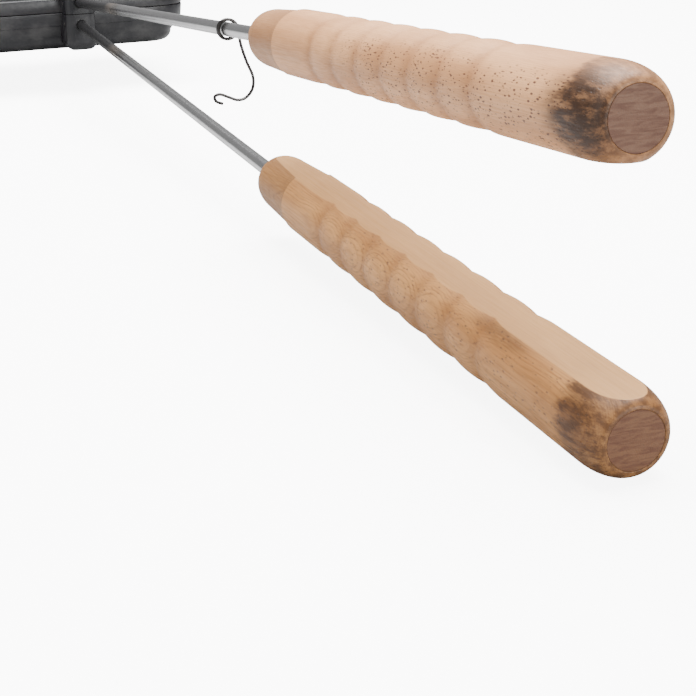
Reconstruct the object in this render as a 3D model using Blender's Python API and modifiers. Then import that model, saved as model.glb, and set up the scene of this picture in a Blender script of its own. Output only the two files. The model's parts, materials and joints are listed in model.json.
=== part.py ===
"""Long-handled hinged cooking iron: two cast pans, steel rods, turned wooden grips and a wire hook.

Frame: +Z up, the pans hinge at their +Y side and the grips point towards -Y.  The two halves are
the same casting turned half a turn about Y, apart from their hinge knuckles.  All lengths in metres.
Each handle has a frame of its own: Z runs along the handle away from the pans, Y faces the other
handle, and X lies across.
"""
import math

import bmesh
import bpy
from mathutils import Matrix, Vector

# ---- pans -------------------------------------------------------------------------------------
PAN_SIDE = 0.134          # outer width and length at the parting plane
PAN_HIGH = 0.0215         # height of one half
PAN_CORNER = 0.022        # corner radius in plan
PARTING_GAP = 0.0003      # between the two closed lands
BAND_HIGH = 0.0075        # upright band round the rim
BAND_STEP = 0.0014        # how far the wall steps in under the band
WALL_DRAFT = 0.0055       # how far the wall leans in towards the base
BASE_ROUND = 0.006        # rounding between wall and base
LAND_WIDE = 0.0065        # flat sealing land
FLOOR_THICK = 0.0055
CAVITY_DRAFT = 0.003
RIB_COUNT = 6
RIB_HIGH = 0.0025
RIB_WIDE = 0.004

# ---- rod sockets ------------------------------------------------------------------------------
BOSS_WIDE = 0.018
BOSS_LONG = 0.014         # in front of the pan's wall
BOSS_HIGH = 0.0203
SOCKET_DEEP = 0.0175
PLAY = 0.0003             # gap between pieces that touch

# ---- handles ----------------------------------------------------------------------------------
ROD_R = 0.0027
ROD_OFFSET = 0.0055       # rod axis below or above the parting plane, at the pan's front
SPREAD = math.radians(3.02)     # each rod leans this far from the parting plane
GRIP_TURN = math.radians(0.75)  # each grip leans back towards the other one
HANDLE_REACH = 0.620      # from the pan's front to the grip's outer end
GRIP_LONG = 0.246
UPPER_SHORT = 0.003       # the upper grip sits this much closer to the pans
GRIP_R = 0.01135
FLAT_AT = 0.0094          # from the grip's axis to its flat
GROOVES = 7
GROOVE_FIRST = 0.0705     # from the grip's inner end to the first groove
GROOVE_PITCH = 0.0193
GROOVE_DEEP = 0.0007
INNER_ROUND = 0.009       # length of the rounding at each end of the grip
OUTER_ROUND = 0.0115
INNER_FACE = 0.70         # end face radius, as a share of the grip's radius
OUTER_FACE = 0.66
NOSE_FOOT = 0.885         # share of the radius where the inner rounding ends
NOSE_LONG = 0.0345        # the nose tapers from here to the inner rounding
NOSE_TOP = 0.965          # share of the radius at the shoulder behind the nose
SHOULDER_LONG = 0.0012
BORE_R = 0.0031
THREAD_R = 0.0025
COUNTERBORE_R = 0.0073
COUNTERBORE_DEEP = 0.0146
PLUG_LONG = 0.0066
NUT_R = 0.0046            # to the corners
NUT_HIGH = 0.004
WASHER_HIGH = 0.001

# ---- hinge ------------------------------------------------------------------------------------
HINGE_OUT = 0.007         # hinge axis behind the pans
KNUCKLE_R = 0.0058
HINGE_X = 0.038           # each hinge's distance from the middle
KNUCKLE_MID = 0.0076      # width of the upper half's single knuckle
KNUCKLE_SIDE = 0.0048     # width of each knuckle of the lower half
KNUCKLE_GAP = 0.0004
PIN_R = 0.0023

# ---- wire hook --------------------------------------------------------------------------------
WIRE_R = 0.0006
HOOK_AT = 0.3166          # along the rod from the pan's front
HOOK_TURNS = 2.1
HOOK_PITCH = 0.0016
# the hanging part, X across and Y downwards from the rod's axis
HOOK_CURVE = ((0.0062, -0.0125), (0.0084, -0.0185), (0.0079, -0.0232), (0.0050, -0.0264),
              (0.0016, -0.0270), (-0.0020, -0.0256), (-0.0052, -0.0243), (-0.0074, -0.0249),
              (-0.0070, -0.0268), (-0.0044, -0.0280))

ROUND_STEPS = 24          # sides of round pieces

IRON = ("cast_iron", (0.018, 0.018, 0.020), 0.45, 0.85)
STEEL = ("bright_steel", (0.62, 0.62, 0.63), 0.25, 1.0)
WIRE = ("dark_wire", (0.10, 0.095, 0.09), 0.35, 1.0)
WOOD_LOWER = ("beech_tan", (0.56, 0.36, 0.20), 0.55, 0.0)
WOOD_UPPER = ("beech_pink", (0.60, 0.40, 0.28), 0.55, 0.0)
ZINC = ("zinc_plate", (0.50, 0.50, 0.48), 0.35, 1.0)

parts = None
cutters = None


def clear_scene():
    for ob in list(bpy.data.objects):
        bpy.data.objects.remove(ob, do_unlink=True)


def new_collection(name):
    made = bpy.data.collections.new(name)
    bpy.context.scene.collection.children.link(made)
    return made


def finish_material(spec):
    name, colour, rough, metal = spec
    found = bpy.data.materials.get(name)
    if found:
        return found
    mat = bpy.data.materials.new(name)
    mat.use_nodes = True
    shader = mat.node_tree.nodes["Principled BSDF"]
    shader.inputs["Base Color"].default_value = (*colour, 1.0)
    shader.inputs["Roughness"].default_value = rough
    shader.inputs["Metallic"].default_value = metal
    return mat


def object_from(name, bm, spec=None, place=Matrix.Identity(4)):
    """Make an object of a bmesh; one without a finish is a cutter."""
    mesh = bpy.data.meshes.new(name)
    bm.to_mesh(mesh)
    bm.free()
    ob = bpy.data.objects.new(name, mesh)
    ob.matrix_world = place
    if spec is None:
        cutters.objects.link(ob)
        ob.hide_render = True
        ob.display_type = "WIRE"
        return ob
    parts.objects.link(ob)
    mesh.materials.append(finish_material(spec))
    mesh.shade_smooth()
    mesh.set_sharp_from_angle(angle=math.radians(35))
    return ob


def combine(ob, tool, operation):
    step = ob.modifiers.new(operation.lower() + "_" + tool.name, "BOOLEAN")
    step.operation = operation
    step.object = tool
    step.solver = "EXACT"


def block_bmesh(low, high):
    bm = bmesh.new()
    bmesh.ops.create_cube(bm, size=1.0)
    size = [h - l for l, h in zip(low, high)]
    middle = [(l + h) / 2 for l, h in zip(low, high)]
    bmesh.ops.scale(bm, vec=size, verts=bm.verts)
    bmesh.ops.translate(bm, vec=middle, verts=bm.verts)
    return bm


def edges_along(bm, axis):
    found = []
    for edge in bm.edges:
        run = (edge.verts[1].co - edge.verts[0].co).normalized()
        if abs(run[axis]) > 0.9:
            found.append(edge)
    return found


def round_edges(bm, edges, radius, steps):
    bmesh.ops.bevel(bm, geom=edges, offset=radius, segments=steps, profile=0.5, affect="EDGES")


def rod_bmesh(radius, low, high, steps=ROUND_STEPS):
    """A cylinder along Z from low to high."""
    bm = bmesh.new()
    bmesh.ops.create_cone(bm, cap_ends=True, segments=steps, radius1=radius, radius2=radius,
                          depth=high - low)
    bmesh.ops.translate(bm, vec=(0, 0, (low + high) / 2), verts=bm.verts)
    return bm


def across(x=0.0, y=0.0, z=0.0):
    """A place whose Z axis runs along +X."""
    return Matrix.Translation((x, y, z)) @ Matrix.Rotation(math.pi / 2, 4, "Y")


def turned_object(name, profile, spec, place, steps=ROUND_STEPS):
    """Turn an outline of (radius, height) pairs, listed from top to bottom, about Z."""
    bm = bmesh.new()
    last = None
    for radius, height in profile:
        vert = bm.verts.new((radius, 0, height))
        if last:
            bm.edges.new((last, vert))
        last = vert
    ob = object_from(name, bm, spec, place)
    turn = ob.modifiers.new("turn", "SCREW")
    turn.steps = steps
    turn.render_steps = steps
    turn.use_merge_vertices = True
    turn.merge_threshold = 0.00001
    return ob


def wire_object(name, points, radius, spec, place, scales=None, sides=2):
    """Sweep a round wire through the points, then keep it as a mesh with welded caps."""
    curve = bpy.data.curves.new(name, "CURVE")
    curve.dimensions = "3D"
    curve.bevel_depth = radius
    curve.bevel_resolution = sides
    curve.use_fill_caps = True
    line = curve.splines.new("POLY")
    line.points.add(len(points) - 1)
    for index, point in enumerate(points):
        line.points[index].co = (*point, 1.0)
        line.points[index].radius = scales[index] if scales else 1.0
    swept = bpy.data.objects.new(name + "_path", curve)
    bpy.context.scene.collection.objects.link(swept)
    graph = bpy.context.evaluated_depsgraph_get()
    mesh = bpy.data.meshes.new_from_object(swept.evaluated_get(graph))
    bpy.data.objects.remove(swept, do_unlink=True)
    bm = bmesh.new()
    bm.from_mesh(mesh)
    bpy.data.meshes.remove(mesh)
    bmesh.ops.remove_doubles(bm, verts=bm.verts, dist=0.00001)
    bmesh.ops.recalc_face_normals(bm, faces=bm.faces)
    return object_from(name, bm, spec, place)


# ---- frames -----------------------------------------------------------------------------------
def half_turn(upper):
    return Matrix.Rotation(math.pi if upper else 0.0, 4, "Y")


def along(direction_angle, start):
    """A frame at start whose Z leans below -Y by the angle and whose Y faces the parting plane."""
    lean = Matrix.Rotation(math.pi / 2 + direction_angle, 4, "X")
    return Matrix.Translation(start) @ lean


def rod_frame(upper):
    return half_turn(upper) @ along(SPREAD, Vector((0, 0, -ROD_OFFSET)))


def grip_frame(upper):
    """Frame at the centre of the grip's inner end, Z towards its outer end."""
    reach = HANDLE_REACH - (UPPER_SHORT if upper else 0.0)
    mouth = rod_frame(upper) @ Vector((0, 0, reach - GRIP_LONG))
    start = half_turn(upper).inverted() @ mouth
    return half_turn(upper) @ along(SPREAD - GRIP_TURN, start)


# ---- pans -------------------------------------------------------------------------------------
def tapered_block(name, side, top, bottom, corner, draft, base_round, spec=None):
    """A square block, round in plan, that leans in towards its bottom, where its edge is round."""
    half = side / 2
    bm = block_bmesh((-half, 0, bottom), (half, side, top))
    for vert in bm.verts:
        if vert.co.z < (top + bottom) / 2:
            vert.co.x -= math.copysign(draft, vert.co.x)
            vert.co.y += draft if vert.co.y < half else -draft
    uprights = [e for e in bm.edges if abs(e.verts[0].co.z - e.verts[1].co.z) > 0.001]
    round_edges(bm, uprights, corner, 6)
    if base_round:
        lowest = [e for e in bm.edges if max(v.co.z for v in e.verts) < bottom + 0.00001]
        round_edges(bm, lowest, base_round, 3)
    return object_from(name, bm, spec)


def pan(name, upper):
    """One cast half, modelled as the lower one; its knuckles are joined on by hinge_knuckles."""
    top = -PARTING_GAP / 2
    ob = tapered_block(name, PAN_SIDE, top, top - BAND_HIGH, PAN_CORNER, 0.0, 0.0, IRON)
    wall = tapered_block(name + "_wall", PAN_SIDE - 2 * BAND_STEP, top - BAND_HIGH / 2, -PAN_HIGH,
                         PAN_CORNER, WALL_DRAFT, BASE_ROUND)
    for vert in wall.data.vertices:
        vert.co.y += BAND_STEP
    combine(ob, wall, "UNION")
    cavity = tapered_block(name + "_cavity", PAN_SIDE - 2 * LAND_WIDE, 0.01,
                           FLOOR_THICK - PAN_HIGH, PAN_CORNER - LAND_WIDE * 0.6,
                           CAVITY_DRAFT, 0.003)
    for vert in cavity.data.vertices:
        vert.co.y += LAND_WIDE
    combine(ob, cavity, "DIFFERENCE")
    floor_at = FLOOR_THICK - PAN_HIGH
    inner = PAN_SIDE - 2 * LAND_WIDE - 2 * CAVITY_DRAFT
    pitch = inner / RIB_COUNT
    for index in range(RIB_COUNT):
        middle = (index - (RIB_COUNT - 1) / 2) * pitch
        bm = block_bmesh((middle - RIB_WIDE / 2, LAND_WIDE + 0.012, floor_at - 0.001),
                         (middle + RIB_WIDE / 2, PAN_SIDE - LAND_WIDE - 0.012, floor_at + RIB_HIGH))
        combine(ob, object_from("%s_rib_%d" % (name, index + 1), bm), "UNION")
    bm = block_bmesh((-BOSS_WIDE / 2, -BOSS_LONG, top - BOSS_HIGH), (BOSS_WIDE / 2, 0.004, top))
    round_edges(bm, edges_along(bm, 2), 0.003, 2)
    combine(ob, object_from(name + "_boss", bm), "UNION")
    lean = along(SPREAD, Vector((0, 0, -ROD_OFFSET)))
    bm = rod_bmesh(ROD_R + PLAY, BOSS_LONG - SOCKET_DEEP, BOSS_LONG + 0.01)
    combine(ob, object_from(name + "_socket", bm, None, lean), "DIFFERENCE")
    bm = rod_bmesh(0.0013, -BOSS_WIDE, BOSS_WIDE, 12)
    pin_place = lean @ Matrix.Translation((0, 0, BOSS_LONG / 2)) @ Matrix.Rotation(math.pi / 2, 4, "Y")
    combine(ob, object_from(name + "_pin_hole", bm, None, pin_place), "DIFFERENCE")
    hinge_knuckles(ob, upper)
    ob.matrix_world = half_turn(upper)
    for tool in [step.object for step in ob.modifiers]:
        tool.matrix_world = half_turn(upper) @ tool.matrix_world
    return ob


def hinge_knuckles(ob, upper):
    """Join the knuckles to a half that still lies as the lower one, and bore them."""
    axis_y = PAN_SIDE + HINGE_OUT
    if upper:
        spans = [(-KNUCKLE_MID / 2, KNUCKLE_MID / 2)]
    else:
        near = KNUCKLE_MID / 2 + KNUCKLE_GAP
        spans = [(-near - KNUCKLE_SIDE, -near), (near, near + KNUCKLE_SIDE)]
    for station in (-HINGE_X, HINGE_X):
        for low, high in spans:
            tag = "%s_lug_%d" % (ob.name, len(ob.modifiers))
            bm = rod_bmesh(KNUCKLE_R, low, high)
            combine(ob, object_from(tag, bm, None, across(station, axis_y)), "UNION")
            bm = block_bmesh((station + low, PAN_SIDE - 0.003, -KNUCKLE_R),
                             (station + high, axis_y, -0.0012))
            combine(ob, object_from(tag + "_web", bm), "UNION")
        bm = rod_bmesh(PIN_R + PLAY, -0.02, 0.02)
        bore = object_from("%s_bore_%d" % (ob.name, len(ob.modifiers)), bm, None,
                           across(station, axis_y))
        combine(ob, bore, "DIFFERENCE")


# ---- hinge hardware ---------------------------------------------------------------------------
def hinge_pin(name, outward):
    """Headed pin from the inner side of a hinge; outward is the way its plain end points."""
    reach = KNUCKLE_MID / 2 + KNUCKLE_GAP + KNUCKLE_SIDE
    head_r, head_high, tail = 0.004, 0.002, 0.0052
    start = -reach - PLAY
    end = reach + tail
    profile = [(0, end), (PIN_R - 0.0004, end), (PIN_R, end - 0.0004), (PIN_R, start),
               (head_r, start), (head_r, start - head_high + 0.0006),
               (head_r - 0.0006, start - head_high), (0, start - head_high)]
    axis = Matrix.Translation((outward * HINGE_X, PAN_SIDE + HINGE_OUT, 0))
    axis = axis @ Matrix.Rotation(outward * math.pi / 2, 4, "Y")
    ob = turned_object(name, profile, STEEL, axis, ROUND_STEPS)
    hole = object_from(name + "_hole", rod_bmesh(0.0009, -0.006, 0.006, 10), None,
                       axis @ Matrix.Translation((0, 0, reach + 0.0032)) @
                       Matrix.Rotation(math.pi / 2, 4, "X"))
    combine(ob, hole, "DIFFERENCE")
    washer = turned_object(name.replace("pin", "washer"),
                           [(PIN_R + PLAY, reach + 0.0013), (0.0045, reach + 0.0013),
                            (0.0045, reach + PLAY), (PIN_R + PLAY, reach + PLAY),
                            (PIN_R + PLAY, reach + 0.0013)], ZINC, axis, ROUND_STEPS)
    split_pin(name.replace("hinge_pin", "split_pin"), axis, reach + 0.0032)
    return ob, washer


def split_pin(name, axis, along_pin):
    """A bent wire through the pin's end: a round eye on one side and a turned leg on the other."""
    eye_r = 0.0013
    points = []
    for index in range(9):
        turn = math.radians(-60 + index * 300 / 8)
        points.append((0, PIN_R + 0.0012 + eye_r - eye_r * math.cos(turn + math.pi * 0.15),
                       eye_r * math.sin(turn + math.pi * 0.15)))
    points = points[::-1]
    points += [(0, PIN_R + 0.0004, 0), (0, -PIN_R - 0.0009, 0), (0, -PIN_R - 0.0016, 0.0009),
               (0, -PIN_R - 0.0016, 0.0030)]
    wire_object(name, points, 0.00045, ZINC, axis @ Matrix.Translation((0, 0, along_pin)))


# ---- handles ----------------------------------------------------------------------------------
def rod(name, upper):
    """Steel rod from its socket to the threaded end inside the grip, turned a little at the grip."""
    frame = rod_frame(upper)
    grip = frame.inverted() @ grip_frame(upper)
    thread_start = GRIP_LONG - COUNTERBORE_DEEP - 0.012
    thread_end = GRIP_LONG - COUNTERBORE_DEEP + WASHER_HIGH + NUT_HIGH + 0.0016
    slim = THREAD_R / ROD_R
    points = [Vector((0, 0, BOSS_LONG - SOCKET_DEEP + PLAY)),
              grip @ Vector((0, 0, 0)),
              grip @ Vector((0, 0, thread_start)),
              grip @ Vector((0, 0, thread_start + 0.0008)),
              grip @ Vector((0, 0, thread_end))]
    ob = wire_object(name, points, ROD_R, STEEL, frame, [1, 1, 1, slim, slim], 4)
    hole = object_from(name + "_hole", rod_bmesh(0.0013, -0.01, 0.01, 12), None,
                       frame @ Matrix.Translation((0, 0, BOSS_LONG / 2)) @
                       Matrix.Rotation(math.pi / 2, 4, "Y"))
    combine(ob, hole, "DIFFERENCE")
    return ob


def rod_pin(name, upper):
    """Driven pin that holds the rod in its socket."""
    length = BOSS_WIDE / 2 - 0.0004
    place = rod_frame(upper) @ Matrix.Translation((0, 0, BOSS_LONG / 2))
    place = place @ Matrix.Rotation(math.pi / 2, 4, "Y")
    return object_from(name, rod_bmesh(0.0010, -length, length, 12), STEEL, place)


def end_share(left, length, face, full):
    """Share of the radius at a distance from an end that is rounded over the given length."""
    if left > length:
        return 1.0
    rise = math.sqrt(max(0.0, 1 - (1 - left / length) ** 2))
    return face + (full - face) * rise


def grip_radius(along_grip):
    """Radius of the turned grip at a distance from its inner end, before the flat is cut."""
    radius = GRIP_R
    last = GROOVE_FIRST + (GROOVES - 1) * GROOVE_PITCH
    turns = (along_grip - GROOVE_FIRST) / GROOVE_PITCH
    if GROOVE_FIRST - GROOVE_PITCH / 2 < along_grip < last + GROOVE_PITCH / 2:
        radius -= GROOVE_DEEP * (1 - abs(math.sin(math.pi * turns)))
    share = end_share(along_grip, INNER_ROUND, INNER_FACE, NOSE_FOOT)
    if INNER_ROUND < along_grip <= NOSE_LONG:
        part = (along_grip - INNER_ROUND) / (NOSE_LONG - INNER_ROUND)
        share = NOSE_FOOT + (NOSE_TOP - NOSE_FOOT) * part
    share = min(share, end_share(GRIP_LONG - along_grip, OUTER_ROUND, OUTER_FACE, 1.0))
    return min(radius, GRIP_R * share)


def grip_stations():
    stations = [INNER_ROUND * (1 - math.cos(math.pi / 2 * k / 5)) for k in range(6)]
    stations += [NOSE_LONG, NOSE_LONG + SHOULDER_LONG]
    first = GROOVE_FIRST - GROOVE_PITCH / 2
    stations += [first + k * GROOVE_PITCH / 4 for k in range(GROOVES * 4 + 1)]
    stations += [GRIP_LONG - OUTER_ROUND * (1 - math.cos(math.pi / 2 * k / 5))
                 for k in range(5, -1, -1)]
    return stations


def grip(name, upper, spec):
    frame = grip_frame(upper)
    profile = [(grip_radius(z), z) for z in reversed(grip_stations())]
    profile = [(0, GRIP_LONG)] + profile + [(0, 0)]
    ob = turned_object(name, profile, spec, frame)
    flat = object_from(name + "_flat", block_bmesh((-0.03, FLAT_AT, -0.01),
                                                   (0.03, 0.03, GRIP_LONG + 0.01)), None, frame)
    combine(ob, flat, "DIFFERENCE")
    bore = object_from(name + "_bore", rod_bmesh(BORE_R, -0.01, GRIP_LONG - 0.005, 20), None, frame)
    combine(ob, bore, "DIFFERENCE")
    pocket = object_from(name + "_pocket", rod_bmesh(COUNTERBORE_R, GRIP_LONG - COUNTERBORE_DEEP,
                                                     GRIP_LONG + 0.01), None, frame)
    combine(ob, pocket, "DIFFERENCE")
    return ob


def ring_piece(name, outer, inner, low, high, spec, frame, sides):
    """A washer or nut: a prism with the given number of sides and a round hole."""
    ob = object_from(name, rod_bmesh(outer, low, high, sides), spec, frame)
    hole = object_from(name + "_hole", rod_bmesh(inner, low - 0.01, high + 0.01, 20), None, frame)
    combine(ob, hole, "DIFFERENCE")
    return ob


def grip_fixings(half, upper, spec):
    """Washer, nut and wooden plug in the counterbore at the grip's outer end."""
    frame = grip_frame(upper)
    seat = GRIP_LONG - COUNTERBORE_DEEP + PLAY
    ring_piece(half + "_tang_washer", COUNTERBORE_R - PLAY, THREAD_R + PLAY, seat,
               seat + WASHER_HIGH, ZINC, frame, 20)
    nut_low = seat + WASHER_HIGH + PLAY
    ring_piece(half + "_tang_nut", NUT_R, THREAD_R + PLAY, nut_low, nut_low + NUT_HIGH, ZINC,
               frame, 6)
    end = GRIP_LONG - 0.0001
    profile = [(0, end), (COUNTERBORE_R - PLAY - 0.0003, end),
               (COUNTERBORE_R - PLAY, end - 0.0003), (COUNTERBORE_R - PLAY, end - PLUG_LONG),
               (0, end - PLUG_LONG)]
    turned_object(half + "_grip_plug", profile, spec, frame, 20)


# ---- hook -------------------------------------------------------------------------------------
def hook_points():
    """Helix round the rod, then the hanging S, in a frame whose Z is the rod and Y is downwards.

    The upper half's frames are turned about Y, so the S is laid out with its X turned over.
    """
    loop_r = ROD_R + WIRE_R + 0.0004
    points = []
    steps = 30
    sweep = HOOK_TURNS * 2 * math.pi
    for index in range(steps + 1):
        share = index / steps
        turn = sweep * (1 - share)
        points.append(Vector((-loop_r * math.cos(turn), -loop_r * math.sin(turn),
                              HOOK_PITCH * HOOK_TURNS * (share - 1))))
    guide = [Vector((-loop_r, -0.0008, 0)), Vector((-loop_r, 0, 0)), Vector((-0.0044, 0.0060, 0))]
    guide += [Vector((-x, -y, 0)) for x, y in HOOK_CURVE]
    for index in range(1, len(guide) - 2):
        before, here, after, further = guide[index - 1:index + 3]
        if index > 1:
            points.append(here)
        points.append((here + after) * 0.5625 - (before + further) * 0.0625)
    return points + guide[-2:]


def hook(name):
    rod_place = rod_frame(True) @ Matrix.Translation((0, 0, HOOK_AT))
    return wire_object(name, hook_points(), WIRE_R, WIRE, rod_place)


# ---- assembly ---------------------------------------------------------------------------------
def empty(name, place):
    ob = bpy.data.objects.new(name, None)
    bpy.context.scene.collection.objects.link(ob)
    ob.matrix_world = place
    return ob


def hang_on(parent, children):
    for ob in children:
        world = ob.matrix_world.copy()
        ob.parent = parent
        ob.matrix_parent_inverse = parent.matrix_world.inverted()
        ob.matrix_world = world


def stand_on_origin(root):
    """Move everything so the origin is the middle of the underside of the whole iron."""
    graph = bpy.context.evaluated_depsgraph_get()
    corners = []
    for ob in parts.objects:
        shown = ob.evaluated_get(graph)
        corners += [shown.matrix_world @ vert.co for vert in shown.data.vertices]
    low = [min(c[axis] for c in corners) for axis in range(3)]
    high = [max(c[axis] for c in corners) for axis in range(3)]
    root.location = (0, -(low[1] + high[1]) / 2, -low[2])


def build():
    global parts, cutters
    clear_scene()
    parts = new_collection("cooking_iron")
    cutters = new_collection("cooking_iron_cutters")
    for half, upper, wood in (("lower", False, WOOD_LOWER), ("upper", True, WOOD_UPPER)):
        pan(half + "_pan", upper)
        rod(half + "_rod", upper)
        rod_pin(half + "_rod_pin", upper)
        grip(half + "_grip", upper, wood)
        grip_fixings(half, upper, wood)
    hinge_pin("hinge_pin_left", -1)
    hinge_pin("hinge_pin_right", 1)
    hook("s_hook")
    bpy.context.view_layer.update()
    root = empty("iron_frame", Matrix.Identity(4))
    hinge = empty("upper_half_pivot", Matrix.Translation((0, PAN_SIDE + HINGE_OUT, 0)))
    swing = empty("hook_pivot", rod_frame(True) @ Matrix.Translation((0, 0, HOOK_AT)))
    bpy.context.view_layer.update()
    moving, still, hanging = [], [], []
    for ob in list(parts.objects) + list(cutters.objects):
        if ob.name.startswith("upper"):
            moving.append(ob)
        elif ob.name.startswith("s_hook"):
            hanging.append(ob)
        else:
            still.append(ob)
    hang_on(root, [hinge] + still)
    hang_on(hinge, [swing] + moving)
    hang_on(swing, hanging)
    bpy.context.view_layer.update()
    stand_on_origin(root)


build()
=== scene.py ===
"""Looks of a hinged cast cooking iron: pans, steel rods, turned wooden grips and a wire hook."""
import json
import math

import bmesh
import bpy
from mathutils import Matrix, Vector
from bpy.props import FloatProperty, FloatVectorProperty, PointerProperty


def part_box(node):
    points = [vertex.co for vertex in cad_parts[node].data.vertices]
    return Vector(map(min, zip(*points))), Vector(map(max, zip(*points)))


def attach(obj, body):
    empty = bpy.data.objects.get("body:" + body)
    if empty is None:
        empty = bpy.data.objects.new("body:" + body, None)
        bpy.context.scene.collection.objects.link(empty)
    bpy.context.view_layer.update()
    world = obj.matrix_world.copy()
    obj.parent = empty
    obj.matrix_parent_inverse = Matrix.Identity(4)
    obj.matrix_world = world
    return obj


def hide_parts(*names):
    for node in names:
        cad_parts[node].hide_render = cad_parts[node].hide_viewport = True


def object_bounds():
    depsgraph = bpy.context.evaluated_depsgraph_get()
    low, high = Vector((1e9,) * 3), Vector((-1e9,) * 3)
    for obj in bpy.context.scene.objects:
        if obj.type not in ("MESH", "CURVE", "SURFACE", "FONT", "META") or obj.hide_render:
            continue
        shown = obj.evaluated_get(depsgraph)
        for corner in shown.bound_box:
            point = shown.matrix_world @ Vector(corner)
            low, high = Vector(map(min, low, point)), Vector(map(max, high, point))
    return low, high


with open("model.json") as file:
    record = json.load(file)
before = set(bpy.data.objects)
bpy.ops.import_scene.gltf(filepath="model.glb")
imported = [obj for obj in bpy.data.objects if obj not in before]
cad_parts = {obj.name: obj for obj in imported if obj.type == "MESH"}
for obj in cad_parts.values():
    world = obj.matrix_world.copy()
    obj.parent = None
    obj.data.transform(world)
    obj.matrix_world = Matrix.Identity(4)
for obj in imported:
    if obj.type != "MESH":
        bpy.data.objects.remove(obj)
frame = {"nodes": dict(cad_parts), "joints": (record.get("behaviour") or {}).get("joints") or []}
cad_low, cad_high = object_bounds()

bl_info = {
    "name": "Hinged cooking iron",
    "version": (1, 0, 0),
    "blender": (4, 5, 0),
    "location": "3D View > Sidebar > Cooking Iron",
    "description": "Fine surfaces and finishes of a hinged cast cooking iron",
    "category": "Object",
}

# ---- places taken from the frame ----
JOINTS = {joint["name"]: joint for joint in frame["joints"]}
HINGE_AT = Vector(JOINTS["pan_hinge"]["pos_m"])
PAN_LOW, PAN_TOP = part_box("lower_pan")
PAN_SIDE = PAN_TOP.x - PAN_LOW.x  # width of a pan at its rim
PAN_HIGH = HINGE_AT.z - PAN_LOW.z  # height of one half
HINGE_OUT = 0.007  # hinge axis behind the pans' rim
FRONT = Vector((0, HINGE_AT.y - HINGE_OUT - PAN_SIDE, HINGE_AT.z))  # near edge, parting plane
BOSS_LONG = FRONT.y - PAN_LOW.y  # rod socket in front of the pan's wall

# ---- pans ----
PARTING_GAP = 0.0003
BAND_STEP = 0.0014
BAND_DRAFT = 0.0007  # the rim band leans in away from the land
WALL_DRAFT = 0.0055
BASE_ROUND = 0.006
LAND_WIDE = 0.0065
FLOOR_THICK = 0.0055
CAVITY_DRAFT = 0.003
CAVITY_ROUND = 0.003
EDGE_SOFT = 0.0005
CORNER_STEPS = 14
RIB_COUNT = 6
RIB_HIGH = 0.0025
RIB_WIDE = 0.004
RIB_SOFT = 0.0011
RIB_SHORT = 0.012  # the ribs stop this far from the cavity's edge
BOSS_WIDE = 0.0172
BOSS_HIGH = 0.0203
BOSS_ROUND = 0.0046
SOCKET_DEEP = 0.0175
PLAY = 0.0003
KNUCKLE_R = 0.0058
HINGE_X = 0.038
KNUCKLE_MID = 0.0076
KNUCKLE_SIDE = 0.0048
KNUCKLE_GAP = 0.0004
PIN_R = 0.0023
CROSS_PIN_R = 0.0013

# ---- handles ----
ROD_OFFSET = 0.0055  # rod axis from the parting plane, at the front
SPREAD = math.radians(3.02)  # each rod leans away from the parting plane
GRIP_TURN = math.radians(0.75)  # each grip leans back towards the other one
HANDLE_REACH = 0.620
UPPER_SHORT = 0.003  # the upper grip sits closer to the pans
GROOVES = 7
GROOVE_FIRST = 0.0705
GROOVE_PITCH = 0.0193
INNER_ROUND = 0.009
OUTER_ROUND = 0.0115
INNER_FACE = 0.70
OUTER_FACE = 0.66
NOSE_FOOT = 0.885  # share of the radius behind the rounding
NOSE_LONG = 0.0345  # the nose tapers from here to the rounding
NOSE_TOP = 0.965  # share of the radius at the shoulder
SHOULDER_LONG = 0.0012
BORE_R = 0.0031
THREAD_R = 0.0025
COUNTERBORE_R = 0.0073
COUNTERBORE_DEEP = 0.0146
PLUG_LONG = 0.0066
FLAT_SOFT = 0.00028
GROOVED_FROM = (0.054, 0.064)  # painted shade in the groove hollows fades in and out here
GROOVED_TO = (0.194, 0.204)
NOSE_SHADE = (0.0352, 0.0335)  # where the browned nose ends
NUT_STACK = 0.0066  # washer, nut and the thread's end beyond them
THREAD_LONG = 0.012

# ---- hook ----
HOOK_TURNS = 2.1
HOOK_PITCH = 0.0016
HOOK_CLEAR = 0.0004
HOOK_NECK = (-0.0044, 0.0060, 0.0)  # where the wire leaves the coil
HOOK_CURVE = ((0.0062, 0.0125), (0.0084, 0.0185), (0.0079, 0.0232), (0.0050, 0.0264),
              (0.0016, 0.0270), (-0.0020, 0.0256), (-0.0052, 0.0243), (-0.0074, 0.0249),
              (-0.0070, 0.0268), (-0.0044, 0.0280))

# ---- stage ----
CAMERA_AT = (-0.1615, -0.6469, 0.1372)
CAMERA_LOOK = (0.32318, 0.89007, -0.32145)
CAMERA_UP = (0.14078, 0.29068, 0.94641)
CAMERA_LENS = 78.19
FLOOR_SIZE = 12.0

HALVES = (("lower", False), ("upper", True))


# ---- sizes and colours the sidebar shows ----
class CookingIronPans(bpy.types.PropertyGroup):
    corner: FloatProperty(name="Corner radius", description="Plan radius of the pans' corners",
                          default=0.022, min=0.005, max=0.05, unit="LENGTH")
    band: FloatProperty(name="Rim band", description="Height of the upright band round the rim",
                        default=0.0075, min=0.002, max=0.015, unit="LENGTH")
    iron: FloatVectorProperty(name="Iron", description="Colour of the seasoned cast iron",
                              default=(0.009, 0.009, 0.011), min=0, max=1, subtype="COLOR")
    iron_worn: FloatVectorProperty(name="Worn iron", description="Colour of its rubbed spots",
                                   default=(0.045, 0.044, 0.044), min=0, max=1, subtype="COLOR")


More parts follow.
